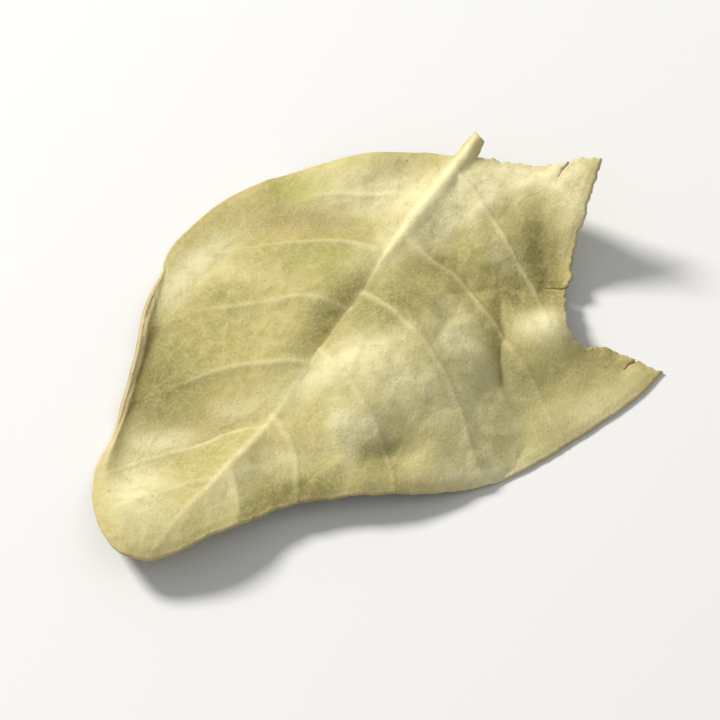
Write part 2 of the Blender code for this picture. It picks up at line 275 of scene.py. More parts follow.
# Dark patches: partly the blade's own dark yellow-green tone and stains and partly painted shade in crease
# marks, dents, the valley beside the midrib and along edges that curl down
OLIVE_AND_PAINTED_SHADE_PATCHES = [
    (0.95, (-0.5, 2.9), (2.1, 0.45), 88), (0.80, (3.5, 9.0), (1.0, 0.45), -60),
    (1.00, (4.5, 7.6), (1.2, 0.6), -60), (1.00, (4.2, 6.7), (1.1, 0.6), -20),
    (0.95, (1.1, 3.7), (1.8, 1.0), 60), (0.75, (1.2, 5.8), (0.9, 0.5), 30),
    (1.00, (5.1, 4.5), (1.3, 0.55), -55), (0.15, (7.9, 4.6), (2.0, 1.2), 35),
    (1.00, (3.75, -1.0), (0.8, 0.40), 50), (1.00, (-4.1, -3.2), (2.2, 1.1), -72),
    (0.50, (1.8, -4.6), (1.5, 0.8), 30), (0.35, (-3.6, 3.6), (1.6, 0.9), 40),
    (0.45, (-4.2, 1.1), (1.6, 0.8), 60), (0.90, (2.8, -3.7), (1.6, 0.5), 45),
    (0.90, (5.2, 7.8), (1.0, 0.45), -70), (0.90, (-3.5, 5.6), (1.1, 0.6), 15),
    (0.60, (1.7, 2.7), (1.6, 0.6), 65), (0.30, (-4.6, 1.2), (0.9, 0.6), 0),
    (0.50, (-3.1, -2.1), (1.3, 0.5), 45), (0.50, (0.0, -0.9), (1.2, 0.4), 80),
    (0.70, (8.0, 3.1), (1.1, 0.5), 45), (0.80, (4.3, -1.6), (0.7, 0.4), 60),
]
# Reddish-brown stains; the patch beside the fine crease by the torn side is painted shade
RUST_AND_PAINTED_SHADE_PATCHES = [
    (1.00, (-3.6, 5.3), (1.3, 0.8), 15), (0.25, (7.9, 6.3), (1.0, 0.5), 40),
    (0.40, (-1.9, -3.4), (1.1, 0.4), 40), (0.40, (4.7, 9.8), (1.1, 0.4), -75),
    (0.80, (4.3, 6.8), (0.9, 0.5), -20),
]
GREEN_PATCHES = [
    (1.00, (-4.5, 6.2), (1.2, 0.6), 20), (0.65, (-2.1, 4.6), (1.4, 0.9), 60),
    (0.40, (5.0, 2.2), (1.6, 1.0), 20), (0.35, (7.2, 3.0), (2.0, 1.2), 40),
]

# The left rim's pale edge, its own tan with a painted highlight, and the dark band of painted shade in the
# curl inside it, by distance from the margin, and the heights on the plan between which their colour comes in
RIM_HIGHLIGHT_EDGE = (0.16, 0.34)
RIM_GROOVE_SHADE = (0.28, 0.42, 1.15)
RIM_COLOUR_FROM = (1.0, -1.6)

# How much of the lower face's colour the sheet's edge has
EDGE_FLOOR_SIDE = 0.4

# Mottling, as noise scale, detail and roughness, and the span of the noise that is spread over the whole
# range. The broken one leaves at least a share of what it breaks up. The other spans are of the fine
# noise, of the distance to the lines of the small net and of the distance from the margin
LARGE_MOTTLE = (0.33, 3.0, 0.55, 0.38, 0.64)
MIDDLING_MOTTLE = (1.0, 4.0, 0.55, 0.36, 0.68)
SMALL_MOTTLE = (2.7, 4.0, 0.60, 0.35, 0.70)
SPECK_MOTTLE = (4.6, 2.0, 0.40, 0.705, 0.76)
BROKEN_MOTTLE = (1.7, 5.0, 0.66, 0.32, 0.58)
BROKEN_LEAST = 0.55
FINE_NOISE = (9.0, 4.0, 0.75)
LIGHT_GRAIN_SPAN = (0.46, 0.72)
DARK_GRAIN_SPAN = (0.30, 0.46)
SMALL_NET_SCALE = 2.6
SMALL_NET_SPAN = (0.0, 0.10)
WORN_EDGE_SPAN = (0.03, 0.28)

# The two ends of the underside's base colour, then its layers from first to last: each one's colour in
# linear light, and how much of it shows at most
KHAKI = ((0.455, 0.390, 0.126, 1), (0.545, 0.476, 0.180, 1))
DUSKY_MOTTLING = ((0.38, 0.335, 0.100, 1), 0.50)
STRAW_MOTTLING = ((0.68, 0.612, 0.315, 1), 0.30)
GREEN = ((0.39, 0.400, 0.085, 1), 0.80)
# Reddish-brown for the stains and for one patch of painted shade
RUST_AND_PAINTED_SHADE = ((0.43, 0.285, 0.125, 1), 0.85)
# Dark yellow-green for the blade's own tone and for painted shade
OLIVE_AND_PAINTED_SHADE = ((0.225, 0.195, 0.050, 1), 0.90)
# Pale colour for the paler tone and the painted light of the pale patches
PALE_AND_PAINTED_LIGHT = ((0.88, 0.812, 0.490, 1), 0.92)
LIGHT_GRAIN = ((0.72, 0.66, 0.355, 1), 0.38)
DARK_GRAIN = ((0.27, 0.235, 0.075, 1), 0.34)
SMALL_NET = ((0.76, 0.70, 0.42, 1), 0.10)
NET = ((0.76, 0.70, 0.42, 1), 0.20)
SIDE_VEIN = ((0.80, 0.73, 0.42, 1), 0.75)
PALE_MIDRIB = ((0.90, 0.82, 0.48, 1), 0.92)
WORN_EDGE = ((0.62, 0.47, 0.24, 1), 0.50)
# Painted shade: the dark band in the curl inside the left rim
PAINTED_GROOVE_SHADE = ((0.22, 0.178, 0.052, 1), 0.75)
# The rim's pale edge: its own tan, lightened as a painted highlight
PALE_RIM_AND_HIGHLIGHT = ((0.82, 0.65, 0.37, 1), 0.90)
SPECKS = ((0.25, 0.17, 0.06, 1), 0.45)

# The same for the duller, greener face below
DULL_GREEN = ((0.19, 0.205, 0.075, 1), (0.27, 0.275, 0.10, 1))
DULL_MOTTLING = ((0.34, 0.32, 0.13, 1), 0.4)
DULL_SIDE_VEIN = ((0.40, 0.38, 0.17, 1), 0.5)
DULL_MIDRIB = ((0.50, 0.45, 0.22, 1), 0.7)

# The dry, matt finish, the shares of the fine noise and the small net in its grain, and the grain's relief,
# whose distance is in metres
FINISH = {
    "Roughness": 0.80,
    "Specular IOR Level": 0.35,
    "Subsurface Weight": 0.06,
    "Subsurface Radius": (1.0, 0.9, 0.3),
    "Subsurface Scale": 0.0002,
}
GRAIN_SHARES = (0.9, 0.09)
GRAIN_RELIEF = {"Strength": 0.8, "Distance": 0.00005}

# The layout for baking: millimetres to the unit square for the two faces, the gap round each piece of it,
# how long a row of the edge is, and how high each of a row's three bands is: two of edge and one of gap
BAKE_SCALE = (0.0350, 0.0205)
BAKE_GAP = 0.006
BAKE_ROW = 0.95
BAKE_BAND = 0.006
BAKE_BANDS = 3

# The camera: its lens, its distance in metres, its azimuth and elevation, what it looks at, and how near
# it sees
LENS = 250.0
CAMERA_DISTANCE = 0.172
CAMERA_VIEW = (34, 60)
CAMERA_AIM = (0.0, 0.0, 0.0015)
CLIP_FROM = 0.01

# The floor: its size, how far it lies below the surface that the leaflet rests on, and its finish
FLOOR_SIZE = 4.0
FLOOR_BELOW = 0.00001
FLOOR_COLOUR = (0.86, 0.86, 0.85, 1)
FLOOR_ROUGHNESS = 0.9

# The lamps: name, azimuth, elevation, distance and size in metres, watts and colour
LAMPS = [
    ("key", -92, 40, 0.30, 0.08, 0.98, (1.0, 0.975, 0.935)),
    ("fill", 110, 50, 0.40, 0.30, 0.15, (1.0, 0.975, 0.90)),
]
SKY_COLOUR = (0.97, 0.97, 0.98, 1)
SKY_STRENGTH = 0.34


def smoothstep(low, high, value):
    t = np.clip((value - low) / (high - low), 0.0, 1.0)
    return t * t * (3.0 - 2.0 * t)


def bump(x, y, centre, spread, turn):
    """A rounded hill of height 1, with its own spread along and across the direction turn."""
    c, s = math.cos(turn), math.sin(turn)
    dx, dy = x - centre[0], y - centre[1]
    along, across = c * dx + s * dy, -s * dx + c * dy
    return np.exp(-((along / spread[0]) ** 2) - (across / spread[1]) ** 2)


def hills(x, y, rows):
    """The listed hills added up at each point."""
    total = np.zeros_like(x)
    for height, centre, spread, turn in rows:
        total += height * bump(x, y, centre, spread, math.radians(turn))
    return total


def patches(x, y, rows):
    """How strongly the listed patches colour each point, at most 1."""
    return np.minimum(hills(x, y, rows), 1.0)


def curve_through(points, step):
    """Points about step apart on a smooth curve through the given ones (Catmull-Rom)."""
    p = [np.array(q, float) for q in points]
    p = [2 * p[0] - p[1], *p, 2 * p[-1] - p[-2]]
    made = []
    for a, b, c, d in zip(p, p[1:], p[2:], p[3:]):
        count = max(1, round(np.linalg.norm(c - b) / step))
        for t in np.arange(count) / count:
            made.append(
                0.5 * (2 * b + (c - a) * t + (2 * a - 5 * b + 4 * c - d) * t**2
                       + (3 * b - a - 3 * c + d) * t**3)
            )
    return np.array([*made, p[-2]])


def torn_through(points, step, depth, chance):
    """Points about step apart along straight runs, each pushed in or out at random as a tear is."""
    made = []
    for a, b in zip(np.array(points, float), np.array(points[1:], float)):
        count = max(1, round(np.linalg.norm(b - a) / step))
        out = np.array([b[1] - a[1], a[0] - b[0]]) / np.linalg.norm(b - a)
        for i in range(count):
            push = depth * chance.uniform(-1, 1) if i else 0.0
            made.append(a + (b - a) * i / count + out * push)
    return np.array([*made, points[-1]])


def side_vein(side, root, reach, fall, count=14):
    """A side vein's line: out from the midrib, bending more and more towards the tip."""
    u = np.linspace(0.0, 1.0, count)
    return np.stack([side * reach * u, root - fall * ((1 - VEIN_BEND) * u + VEIN_BEND * u**2)], axis=1)


def distance_to_line(x, y, line):
    """Each point's distance to a line of straight runs, and how far along it the nearest place is, 0 to 1."""
    best = np.full(x.shape, np.inf)
    where = np.zeros(x.shape)
    runs = np.linalg.norm(np.diff(line, axis=0), axis=1)
    start = np.concatenate([[0.0], np.cumsum(runs)])
    for i, run in enumerate(runs):
        (ax, ay), (bx, by) = line[i], line[i + 1]
        t = np.clip(((x - ax) * (bx - ax) + (y - ay) * (by - ay)) / run**2, 0.0, 1.0)
        d = np.hypot(x - ax - t * (bx - ax), y - ay - t * (by - ay))
        nearer = d < best
        best = np.where(nearer, d, best)
        where = np.where(nearer, (start[i] + t * run) / start[-1], where)
    return best, where


def inside(x, y, loop):
    """Which points lie inside the closed loop."""
    found = np.zeros(x.shape, bool)
    for (ax, ay), (bx, by) in zip(loop, np.roll(loop, -1, axis=0)):
        crosses = (ay > y) != (by > y)
        with np.errstate(divide="ignore", invalid="ignore"):
            found ^= crosses & (x < ax + (y - ay) * (bx - ax) / (by - ay))
    return found


def closed(loop):
    return np.concatenate([loop, loop[:1]])


def solid_outline():
    """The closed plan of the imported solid, anticlockwise, without a repeated last point."""
    chance = random.Random(TEAR_SEED)
    return np.concatenate([
        curve_through(NATURAL_MARGIN, EDGE_STEP)[:-1],
        torn_through(TORN_SIDE, EDGE_STEP, TEAR_DEPTH, chance)[:-1],
        torn_through(STALK_SIDE, EDGE_STEP, TEAR_DEPTH / 2, chance)[:-1],
        torn_through(STALK_STUB, EDGE_STEP, 0.0, chance)[:-1],
    ])


def softened(points):
    """The line with its inner points moved towards the middle of their neighbours."""
    made = points.copy()
    made[1:-1] = 0.5 * points[1:-1] + 0.25 * (points[:-2] + points[2:])
    return made


def frayed(points, depth, chance):
    """The line with its runs halved until they are short, each new point pushed sideways at random."""
    while np.linalg.norm(points[1] - points[0]) > FRAY_LONGEST * FINE_EDGE:
        middles = (points[:-1] + points[1:]) / 2
        run = points[1:] - points[:-1]
        push = np.array([chance.uniform(-1, 1) for _ in middles]) * depth
        middles += np.stack([run[:, 1], -run[:, 0]], axis=1) * push[:, None]
        depth *= FRAY_FALL
        merged = np.empty((len(points) + len(middles), 2))
        merged[0::2] = points
        merged[1::2] = middles
        points = merged
    return points


def fine_outline():
    """The sheet's closed plan: the solid's, with a natural margin that nearly keeps and tears that fray."""
    chance = random.Random(TEAR_SEED)
    torn = torn_through(TORN_SIDE, EDGE_STEP, TEAR_DEPTH, chance)
    stalk = torn_through(STALK_SIDE, EDGE_STEP, TEAR_DEPTH / 2, chance)
    stub = torn_through(STALK_STUB, EDGE_STEP, 0.0, chance)
    natural = curve_through(NATURAL_MARGIN, FINE_EDGE)
    along = np.gradient(natural, axis=0)
    along /= np.linalg.norm(along, axis=1, keepdims=True)
    out = np.stack([along[:, 1], -along[:, 0]], axis=1)
    nibble = sum(waver(*natural.T, *row) for row in NIBBLES)
    natural = natural - out * (np.abs(nibble) + NIBBLE_LEAST)[:, None]
    loop = np.concatenate([
        natural[:-1],
        frayed(softened(torn), TORN_SIDE_FRAY, chance)[:-1],
        frayed(softened(stalk), STALK_SIDE_FRAY, chance)[:-1],
        frayed(stub, STALK_STUB_FRAY, chance)[:-1],
    ])
    for split in SPLITS:
        loop = split_in(loop, *split)
    return loop


def split_in(loop, mouth, end, half_width):
    """The outline with a narrow split that runs in from its place nearest the mouth to the end."""
    mouth, end = np.array(mouth), np.array(end)
    reach = np.linalg.norm(end - mouth)
    ahead = (end - mouth) / reach
    across = np.array([-ahead[1], ahead[0]])
    near = np.argmin(np.hypot(*(loop - mouth).T))
    loop = np.roll(loop, -near, axis=0)
    mouth_reach, mouth_width = SPLIT_MOUTH
    aside = (loop - mouth) @ across
    close = np.hypot(*(loop - mouth).T) < mouth_reach * half_width
    taken = close & (np.abs(aside) < mouth_width * half_width)
    after = np.argmax(~taken)
    before = len(loop) - np.argmax(~taken[::-1])
    rest = loop[after:before]
    side = np.sign((rest[-1] - mouth) @ across)
    u = np.linspace(SPLIT_FROM, 1.0, max(SPLIT_LEAST_POINTS, round(reach / FINE_EDGE)))
    kink = SPLIT_KINK * np.sin(SPLIT_KINK_TURNS * u) * np.minimum(1, SPLIT_STRAIGHT_END * (1 - u))
    middle = mouth + np.outer(u * reach, ahead) + np.outer(kink, across)
    width = np.maximum(half_width * (1 - u) ** SPLIT_TAPER, SPLIT_END)
    width[-1] = 0.0
    into = middle + np.outer(side * width, across)
    back = middle - np.outer(side * width, across)
    return np.concatenate([rest, into[:-1], back[::-1]])


def noise(x, y, cell, seed):
    """Smooth noise from -1 to 1 whose features are about cell across."""
    table = np.random.default_rng(seed).uniform(-1, 1, (NOISE_TABLE, NOISE_TABLE))
    turn = seed * NOISE_TURN
    u = (x * math.cos(turn) - y * math.sin(turn)) / cell + NOISE_SHIFT[0]
    v = (x * math.sin(turn) + y * math.cos(turn)) / cell + NOISE_SHIFT[1]
    i, j = np.floor(u).astype(int), np.floor(v).astype(int)
    s, t = u - i, v - j
    s, t = s**3 * (s * (6 * s - 15) + 10), t**3 * (t * (6 * t - 15) + 10)
    rows = []
    for row in (j, j + 1):
        left = table[i % NOISE_TABLE, row % NOISE_TABLE]
        right = table[(i + 1) % NOISE_TABLE, row % NOISE_TABLE]
        rows.append(left + (right - left) * s)
    return rows[0] + (rows[1] - rows[0]) * t


def waver(x, y, size, cell, seed):
    """Smooth noise from -size to size."""
    return size * noise(x, y, cell, seed)


def relief(x, y, margin):
    """Height of the blade's lower face over its plan, before it is bent and set down."""
    z = LENGTHWISE_LIFT * y**2 - ARCH_SLOPE * np.sqrt((x - ARCH_TOP_AT) ** 2 + ARCH_ROUNDING**2)
    fold = FOLD_HEIGHT * np.cos(2 * math.pi * (y - FOLD_LOWEST_AT) / FOLD_LENGTH)
    for side, share, reach in zip((x < 0, x >= 0), FOLD_SHARE, FOLD_REACH):
        sides = np.sqrt(x**2 + FOLD_ROUNDING**2) - FOLD_ROUNDING
        z += side * share * fold * sides * np.exp(-((x / reach) ** 2))
    z += hills(x, y, SWELLS)
    for depth, start, end, reach in CREASES:
        distance, _ = distance_to_line(x, y, np.array([start, end], float))
        z -= depth * np.exp(-np.sqrt(distance**2 + CREASE_ROUNDING**2) / reach)
    wave = np.sin(MARGIN_WAVE_TURNS[0] * x + MARGIN_WAVE_TURNS[1] * y + MARGIN_WAVE_SHIFT)
    return z + MARGIN_WAVE * wave * np.exp(-margin / MARGIN_WAVE_REACH) * smoothstep(*MARGIN_WAVE_FROM, x)


def bent(points, height_from, away, direction, curvature, most):
    """Points bent upwards where away is above 0: an arc of the curvature for up to most, then straight."""
    arc = np.clip(away, 0.0, most)
    straight = np.clip(away - most, 0.0, None)
    k = np.maximum(curvature, LEAST_CURVATURE)
    angle = k * arc
    lift = points[:, 2] - height_from
    out = np.sin(angle) / k + straight * np.cos(angle) - lift * np.sin(angle) - np.clip(away, 0.0, None)
    up = (1 - np.cos(angle)) / k + straight * np.sin(angle) + lift * (np.cos(angle) - 1)
    return points + np.stack([direction[0] * out, direction[1] * out, up], axis=1)


def left_turn_up(points, margin):
    """The left margin turned up in a thin rim between mid-leaf and the tip."""
    x, y, z = points.T
    strength = smoothstep(*RIM_FROM, y) * smoothstep(*RIM_TO, y) * (x < RIM_LEFT_OF)
    return bent(points, z, RIM_WIDTH - margin, RIM_DIRECTION, strength / RIM_RADIUS, RIM_WIDTH)


def corner_fold(points):
    """The corner by the tear folded up along a straight crease."""
    x, y, z = points.T
    away = (x - CORNER_CREASE[0]) * CORNER_DIRECTION[0] + (y - CORNER_CREASE[1]) * CORNER_DIRECTION[1]
    away = away * smoothstep(*CORNER_LEFT_OF, x)
    return bent(points, z, away, CORNER_DIRECTION, np.full_like(x, 1 / CORNER_RADIUS), CORNER_ARC)


def hanging(x, y, loop, extra=0.0):
    """The lower face in space before it is let down: its relief with the extra height, then its bends."""
    margin, _ = distance_to_line(x, y, closed(loop))
    points = np.stack([x, y, relief(x, y, margin) + extra], axis=1)
    return corner_fold(left_turn_up(points, margin))


def let_down(points, loop):
    """The points tilted and lowered so that the blade lies flat on the surface at its rest spots."""
    x, y, z = points.T
    spots = hanging(*np.array(REST_SPOTS).T, loop)
    slope_x, slope_y, level = np.linalg.solve(np.c_[spots[:, :2], np.ones(3)], spots[:, 2])
    z = z - slope_x * x - slope_y * y - level
    z = np.where(z > 2 * REST_PRESS, z - REST_PRESS, np.clip(z, 0.0, None) ** 2 / (4 * REST_PRESS))
    for cx, cy, _ in spots:
        z = z * smoothstep(REST_FLAT_RADIUS, REST_BLEND_RADIUS, np.hypot(x - cx, y - cy))
    return np.stack([x, y, z], axis=1)


def along_value(pair, u):
    return pair[0] + (pair[1] - pair[0]) * u


def ridge(distance, half_width):
    """A rounded ridge of height 1 over its line."""
    return np.exp(-((distance / half_width) ** 2))


class Veins:
    """How far each point of the plan is from the ribs and the net, and what they add there."""

    def __init__(self, x, y):
        self.add_midrib(x, y)
        self.add_side_veins(x, y)
        self.net_distance = net_distance(x, y)
        self.net = ridge(self.net_distance, NET_HALF_WIDTH) * (NET_STRENGTH + waver(x, y, *NET_WAVER))
        self.rise = np.maximum(self.rise, NET_HEIGHT * self.net)

    def add_midrib(self, x, y):
        wx = x + waver(x, y, *MIDRIB_WAVER)
        distance, along = distance_to_line(wx, y, curve_through(MIDRIB, MIDRIB_STEP))
        share = np.interp(y, *np.array(MIDRIB_SHARE).T)
        self.midrib = ridge(distance, along_value(MIDRIB_HALF_WIDTH, along)) * share
        self.rise = along_value(MIDRIB_HEIGHT, along) * self.midrib
        self.nearest = distance.copy()

    def add_side_veins(self, x, y):
        self.side = np.zeros_like(x)
        wx, wy = x + waver(x, y, *VEIN_WAVERS[0]), y + waver(x, y, *VEIN_WAVERS[1])
        for vein, share in zip(SIDE_VEINS, VEIN_SHARES):
            distance, along = distance_to_line(wx, wy, side_vein(*vein))
            line = share * ridge(distance, along_value(VEIN_HALF_WIDTH, along))
            self.rise = np.maximum(self.rise, along_value(VEIN_HEIGHT, along) * line)
            self.side = np.maximum(self.side, line * smoothstep(*VEIN_COLOUR_ENDS, along))
            self.nearest = np.minimum(self.nearest, distance + FAINT_VEIN_APART * (1 - share))


def net_distance(x, y):
    """Each point's distance to the nearest line of a net of uneven cells."""
    chance = random.Random(NET_SEED)
    columns = np.arange(*NET_ACROSS, NET_CELL)
    spots = []
    for row, cy in enumerate(np.arange(*NET_ALONG, NET_ROW * NET_CELL)):
        for cx in columns + NET_CELL * (row % 2) / 2:
            stray_x, stray_y = (NET_CELL * chance.uniform(-NET_STRAY, NET_STRAY) for _ in range(2))
            spots.append((cx + stray_x, cy + stray_y, 0.0))
    tree = KDTree(len(spots))
    for i, spot in enumerate(spots):
        tree.insert(spot, i)
    tree.balance()
    warp = (NET_WARP * NET_CELL, NET_WARP_CELL * NET_CELL)
    wx = x + waver(x, y, *warp, NET_SEED + 1)
    wy = y + waver(x, y, *warp, NET_SEED + 2)
    made = np.empty(len(x))
    for i, place in enumerate(zip(wx, wy)):
        (first, _, near), *others = tree.find_n((*place, 0.0), NET_NEAREST)
        made[i] = min((far**2 - near**2) / (2 * (spot - first).length) for spot, _, far in others)
    return made


def crumple(x, y, veins):
    """The dried blade's own unevenness: panels sunk between the veins, and creases that wander."""
    z = -PANEL_DEPTH * (1 - np.exp(-((veins.nearest / PANEL_REACH) ** 2)))
    cell = smoothstep(0.0, CELL_REACH, veins.net_distance)
    z -= CELL_DEPTH * cell * (CELL_STRENGTH + waver(x, y, *CELL_WAVER))
    amount = CRUMPLE_LEAST + hills(x, y, CRUMPLED_PARTS)
    for height, across, seed, rounding in CRUMPLES:
        z += amount * height * (np.sqrt(noise(x, y, across, seed) ** 2 + rounding) - CRUMPLE_LEVEL)
    wx = x + waver(x, y, *FINE_CREASE_WAVER)
    for depth, start, end, reach in FINE_CREASES:
        distance, _ = distance_to_line(wx, y, np.array([start, end], float))
        z -= depth * np.exp(-np.sqrt(distance**2 + FINE_CREASE_ROUNDING**2) / reach)
    return z


def sheet_face(loop, spacing):
    """The plan cut into triangles for one face: the outline first, then an even field."""
    low, high = loop.min(0), loop.max(0)
    rows = []
    for row, y in enumerate(np.arange(low[1], high[1], spacing * math.sqrt(3) / 2)):
        x = np.arange(low[0] + (row % 2) * spacing / 2, high[0], spacing)
        rows.append(np.stack([x, np.full_like(x, y)], axis=1))
    field = np.concatenate(rows)
    field = field[inside(*field.T, loop)]
    margin, _ = distance_to_line(*field.T, closed(loop))
    points = [Vector(p) for p in np.concatenate([loop, field[margin > FIELD_GAP * spacing]])]
    rim = [(i, (i + 1) % len(loop)) for i in range(len(loop))]
    made, _, faces, *_ = delaunay_2d_cdt(points, rim, [], TRIANGLES_INSIDE, POINTS_APART)
    return np.array(made), np.array(faces)


def normals_of(points, faces):
    """The mean direction of the faces round each point."""
    a, b, c = (points[faces[:, i]] for i in range(3))
    across = np.cross(b - a, c - a)
    total = np.zeros_like(points)
    for i in range(3):
        np.add.at(total, faces[:, i], across)
    return total / np.linalg.norm(total, axis=1, keepdims=True)


def evened(directions, faces):
    """The directions spread over their neighbours, so that the sheet doesn't pinch in a narrow valley."""
    for _ in range(EVENING_ROUNDS):
        total = directions[faces].sum(1)
        made = np.zeros_like(directions)
        for i in range(3):
            np.add.at(made, faces[:, i], total)
        directions = made / np.linalg.norm(made, axis=1, keepdims=True)
    return directions


def edge_bulge(loop, out):
    """How far each place of the edge bulges out, which is less where another side faces it closely."""
    apart = loop[None] - loop[:, None]
    gap = np.linalg.norm(apart, axis=2)
    facing = ((apart * out[:, None]).sum(2) > 0) & (out @ out.T < FACING_BELOW)
    return np.minimum(EDGE_BULGE, BULGE_SHARE * np.where(facing, gap, np.inf).min(1))


class Face:
    """One face of the sheet: its plan and triangles, its veins, and where it hangs."""

    def __init__(self, loop, spacing, solid):
        self.plan, self.triangles = sheet_face(loop, spacing)
        self.veins = Veins(*self.plan.T)
        self.margin, _ = distance_to_line(*self.plan.T, closed(loop))
        self.points = let_down(hanging(*self.plan.T, solid, crumple(*self.plan.T, self.veins)), solid)


def thickened(face):
    """The face moved out by the sheet's thickness and its ribs, and the directions of that move."""
    up = evened(normals_of(face.points, face.triangles), face.triangles)
    share = EDGE_SHARE + (1 - EDGE_SHARE) * smoothstep(0.0, EDGE_THINS_FROM, face.margin)
    return face.points + up * (SHEET * share + face.veins.rise)[:, None], up


def edge_points(top, below, up, loop):
    """The row of points along the middle of the sheet's edge, which bulges out a little."""
    out = np.roll(loop, -1, axis=0) - np.roll(loop, 1, axis=0)
    out = np.stack([out[:, 1], -out[:, 0]], axis=1) / np.linalg.norm(out, axis=1, keepdims=True)
    bulge = edge_bulge(loop, out)
    out = np.c_[out, np.zeros(len(loop))]
    out -= up * (out * up).sum(1)[:, None]
    middle = (top + below) / 2 + bulge[:, None] * out
    middle[:, 2] = np.maximum(middle[:, 2], 0.0)
    return middle


def edge_triangles(count, floor_from, middle_from):
    """The triangles of the sheet's edge, in two bands round the outline."""
    a = np.arange(count)
    b = (a + 1) % count
    return [
        np.stack([a + middle_from, b + middle_from, b], axis=1),
        np.stack([a + middle_from, b, a], axis=1),
        np.stack([a + floor_from, b + floor_from, b + middle_from], axis=1),
        np.stack([a + floor_from, b + middle_from, a + middle_from], axis=1),
    ]


def colour_masks(upper, floor, loop, plan):
    """What the material reads at each point: masks from 0 to 1, and the millimetres from the margin."""
    count = len(loop)
    rim = smoothstep(*RIM_COLOUR_FROM, plan[:, 1]) * smoothstep(*RIM_TO, plan[:, 1])

    def joined(of_upper, of_floor):
        return np.concatenate([of_upper, of_floor, of_upper[:count]])

    return {
        "midrib": joined(upper.veins.midrib, floor.veins.midrib),
        "side_vein": joined(upper.veins.side, floor.veins.side),
        "net": joined(upper.veins.net, floor.veins.net),
        "margin_distance": np.concatenate([upper.margin, floor.margin, np.zeros(count)]),
        "floor_side": np.repeat([0.0, 1.0, EDGE_FLOOR_SIDE], [len(upper.plan), len(floor.plan), count]),
        # Where the left rim's painted shade and painted highlight come in
        "rim": rim * (plan[:, 0] < RIM_LEFT_OF),
        # Paler tone and painted light
        "pale": patches(*plan.T, PALE_AND_PAINTED_LIGHT_PATCHES),
        # Dark tone and painted shade
        "olive_and_painted_shade": patches(*plan.T, OLIVE_AND_PAINTED_SHADE_PATCHES),
        # Stains and painted shade
        "rust_and_painted_shade": patches(*plan.T, RUST_AND_PAINTED_SHADE_PATCHES),
        "green": patches(*plan.T, GREEN_PATCHES),
    }


def add_uv_map(mesh, name, places):
    layer = mesh.uv_layers.new(name=name)
    layer.uv.foreach_set("vector", places.astype(np.float32).ravel())


def build_blade():
    """The sheet as one closed mesh, with its masks as attributes and its plan as a UV map."""
    solid = solid_outline()
    loop = fine_outline()
    count = len(loop)
    upper, floor = Face(loop, UPPER_SPACING, solid), Face(loop, FLOOR_SPACING, solid)
    top, up = thickened(upper)
    middle = edge_points(top[:count], floor.points[:count], up[:count], loop)
    points = np.concatenate([top, floor.points, middle]) - (*ORIGIN, 0.0)
    plan = np.concatenate([upper.plan, floor.plan, loop])
    floor_from, middle_from = len(top), len(top) + len(floor.points)
    edge = edge_triangles(count, floor_from, middle_from)
    faces = np.concatenate([upper.triangles, floor.triangles[:, ::-1] + floor_from, *edge])
    mesh = bpy.data.meshes.new("leaflet_blade")
    mesh.from_pydata((points * MM).tolist(), [], faces.tolist())
    for name, values in colour_masks(upper, floor, loop, plan).items():
        attribute = mesh.attributes.new(name, "FLOAT", "POINT")
        attribute.data.foreach_set("value", values.astype(np.float32))
    corners = np.empty(len(mesh.loops), np.int32)
    mesh.loops.foreach_get("vertex_index", corners)
    add_uv_map(mesh, "plan", plan[corners])
    add_uv_map(mesh, "OFBake", bake_layout(plan[corners], loop, len(upper.triangles), len(floor.triangles)))
    mesh.shade_smooth()
    blade = bpy.data.objects.new("leaflet_blade", mesh)
    bpy.context.scene.collection.objects.link(blade)
    print("blade triangles", len(faces))
    return blade


def bake_layout(corner_plan, loop, upper_count, floor_count):
    """A place on the unit square for each face corner: the two faces side by side, the edge in rows above."""
    low, high = loop.min(0), loop.max(0)
    made = np.empty_like(corner_plan)
    upper_scale, floor_scale = BAKE_SCALE
    upper_end, floor_end = 3 * upper_count, 3 * (upper_count + floor_count)
    made[:upper_end] = (corner_plan[:upper_end] - low) * upper_scale + BAKE_GAP
    floor_from = ((high[0] - low[0]) * upper_scale + 2 * BAKE_GAP, BAKE_GAP)
    made[upper_end:floor_end] = (corner_plan[upper_end:floor_end] - low) * floor_scale + floor_from
    runs = np.linalg.norm(np.roll(loop, -1, axis=0) - loop, axis=1) * upper_scale
    row, start = np.divmod(np.concatenate([[0.0], np.cumsum(runs)[:-1]]), BAKE_ROW)
    above = (high[1] - low[1]) * upper_scale + 2 * BAKE_GAP + row * BAKE_BANDS * BAKE_BAND
    left, right = start + BAKE_GAP, start + runs + BAKE_GAP
    (a_low, b_low), (a_middle, b_middle), (a_top, b_top) = (
        (np.stack([left, height], axis=1), np.stack([right, height], axis=1))
        for height in (above, above + BAKE_BAND, above + 2 * BAKE_BAND)
    )
    edge = [
        (a_middle, b_middle, b_top), (a_middle, b_top, a_top),
        (a_low, b_low, b_middle), (a_low, b_middle, a_middle),
    ]
    made[floor_end:] = np.concatenate([np.stack(corners, axis=1).reshape(-1, 2) for corners in edge])
    return made


